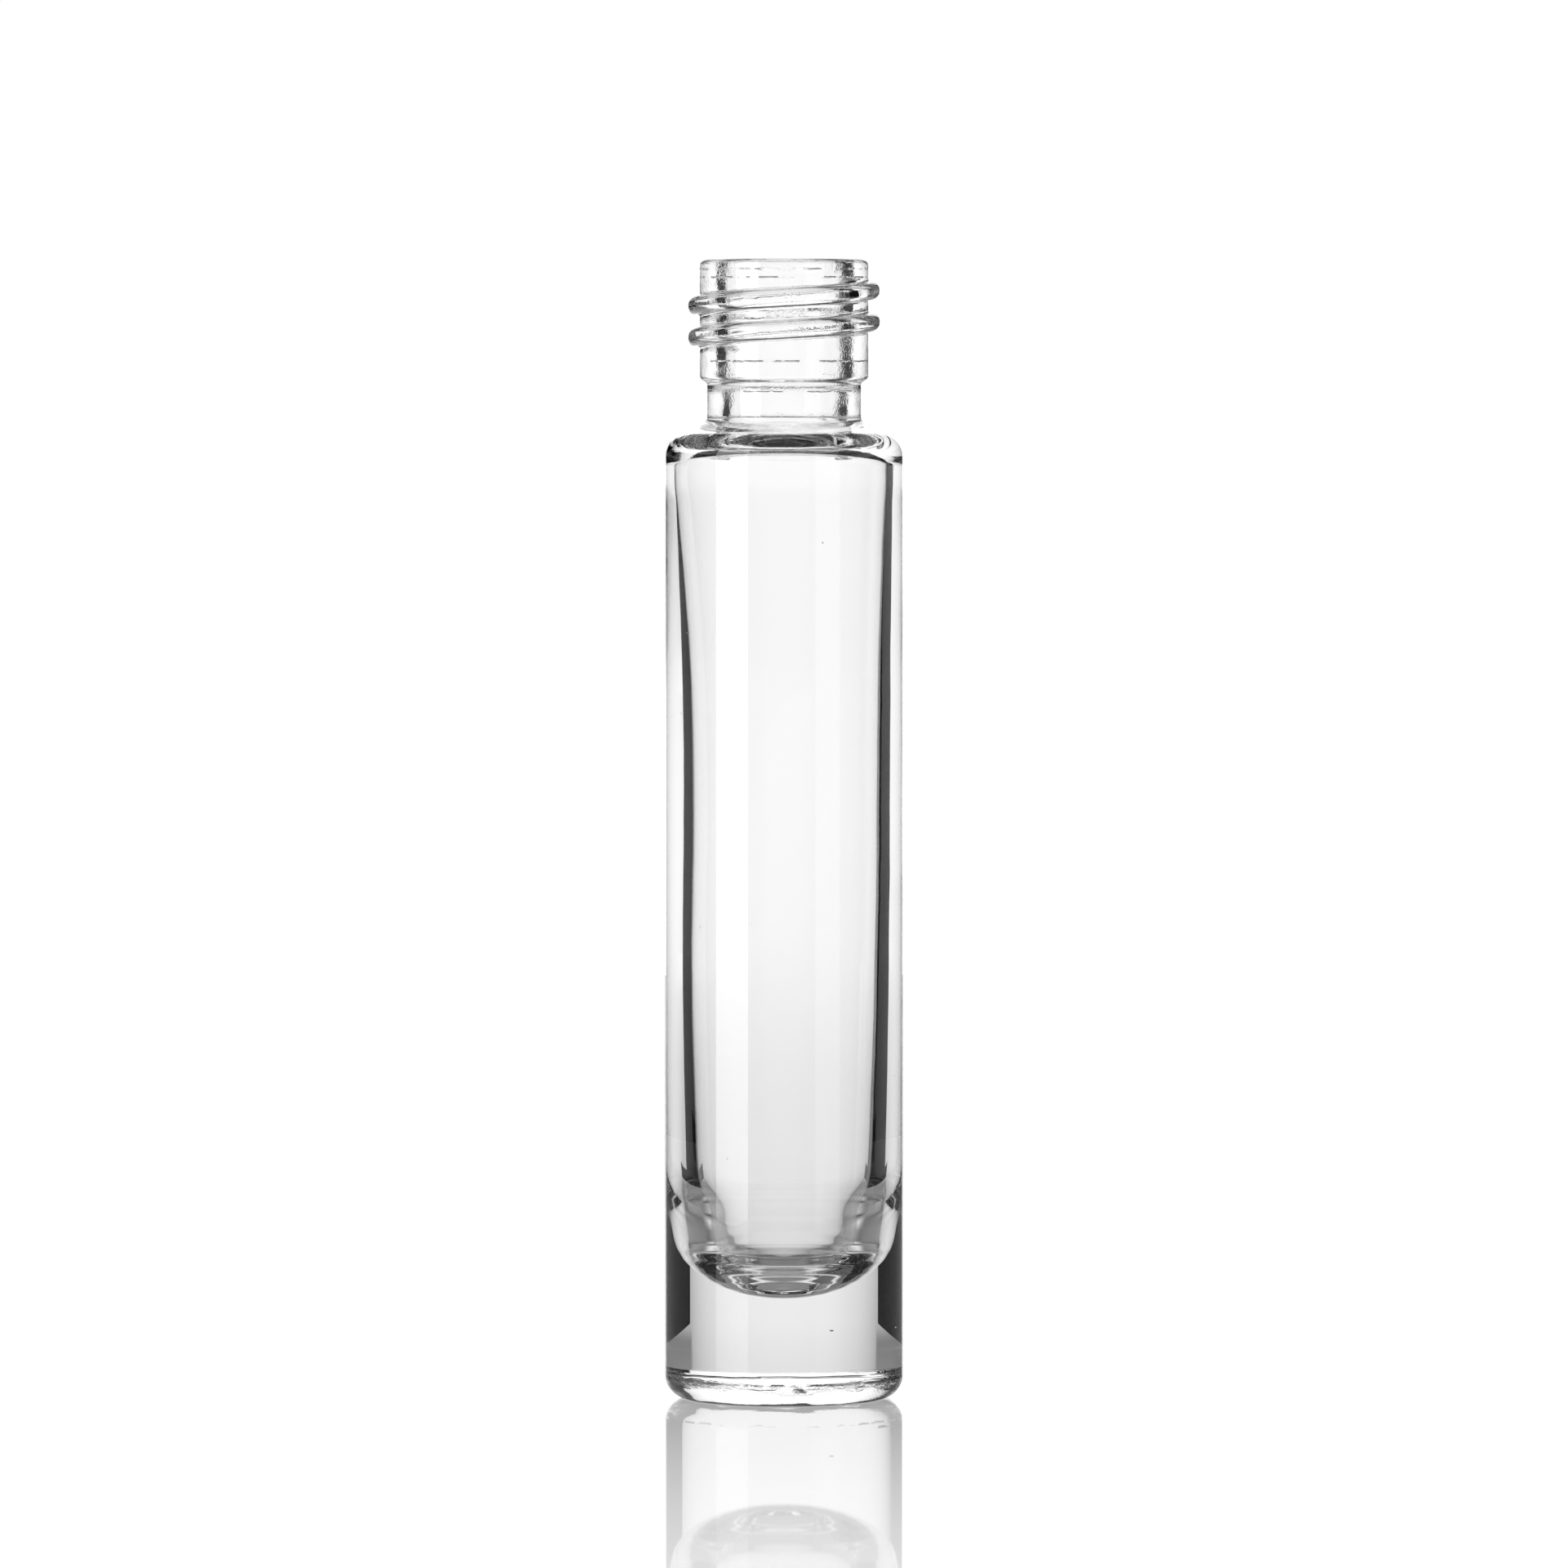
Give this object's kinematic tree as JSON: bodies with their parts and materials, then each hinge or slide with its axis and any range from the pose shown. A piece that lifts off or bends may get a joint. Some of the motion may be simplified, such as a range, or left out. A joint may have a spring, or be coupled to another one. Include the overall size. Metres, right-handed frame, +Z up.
{
  "type": "glass bottle",
  "caption": "Empty clear glass vial with a cylindrical body, thick base, rounded shoulder, narrow open bore and right-hand screw-thread neck.",
  "frame": {"origin": "middle of the base, on the flat ring that the bottle stands on", "axes": "+Z up along the bottle's axis to its open mouth, -Y towards the camera of the picture, +X to the right of the picture"},
  "size_m": [0.016, 0.016, 0.0765],
  "materials": {
    "glass": "clear flint glass, fire-polished"
  },
  "bodies": {
    "root": {"bottle": "glass"}
  },
  "joints": []
}
